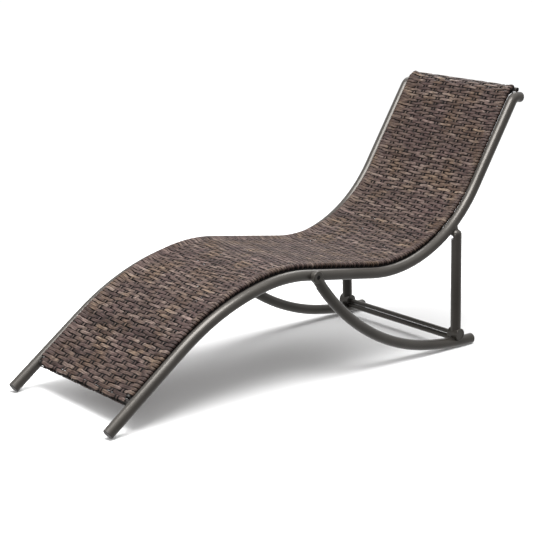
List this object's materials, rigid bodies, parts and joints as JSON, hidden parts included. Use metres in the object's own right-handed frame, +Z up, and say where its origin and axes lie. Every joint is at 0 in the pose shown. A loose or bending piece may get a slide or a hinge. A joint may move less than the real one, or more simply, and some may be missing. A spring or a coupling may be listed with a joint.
{
  "type": "rocking chaise lounge",
  "caption": "Folding rocking chaise lounge: S-shaped tube frame with a woven seat panel, on two curved rocker tubes and a pair of rear legs.",
  "frame": {"origin": "centre of the bounding box, at the floor", "axes": "+X from the foot end to the head end, +Y across towards the far side, +Z up"},
  "size_m": [1.8719, 0.615, 0.9474],
  "materials": {
    "frame": "satin bronze-grey powder coat",
    "weave": "matt woven resin wicker",
    "plug": "moulded",
    "fastener": "black oxide"
  },
  "bodies": {
    "seat_frame": {"back_cross_tube": "frame", "foot_cross_tube": "frame", "foot_plug_far": "plug", "foot_plug_near": "plug", "head_cross_tube": "frame", "head_plug_far": "plug", "head_plug_near": "plug", "knee_cross_tube": "frame", "leg_lug_far": "frame", "leg_lug_near": "frame", "panel_rod_far": "frame", "panel_rod_near": "frame", "rocker_bolt_far": "fastener", "rocker_bolt_near": "fastener", "rocker_nut_far": "fastener", "rocker_nut_near": "fastener", "rocker_spacer_far": "plug", "rocker_spacer_near": "plug", "seat_cross_tube": "frame", "side_rail_far": "frame", "side_rail_near": "frame", "woven_panel": "weave"},
    "rocker_frame": {"rocker_cross_bar": "frame", "rocker_knuckle_far": "frame", "rocker_knuckle_near": "frame", "rocker_plug_far": "plug", "rocker_plug_near": "plug", "rocker_tube_far": "frame", "rocker_tube_near": "frame"},
    "leg_frame": {"leg_cross_bar": "frame", "leg_cross_rod": "frame", "leg_foot_far": "frame", "leg_foot_near": "frame", "leg_knuckle_far": "frame", "leg_knuckle_near": "frame", "leg_tube_far": "frame", "leg_tube_near": "frame"}
  },
  "joints": [
    {"name": "rocker_fold", "type": "hinge", "parent": "seat_frame", "child": "rocker_frame", "pos_m": [-0.1017, 0, 0.3843], "axis": [0, 1, 0], "range_deg": [0, 86]},
    {"name": "leg_fold", "type": "hinge", "parent": "seat_frame", "child": "leg_frame", "pos_m": [0.5999, 0, 0.4338], "axis": [0, -1, 0], "range_deg": [0, 88]}
  ]
}
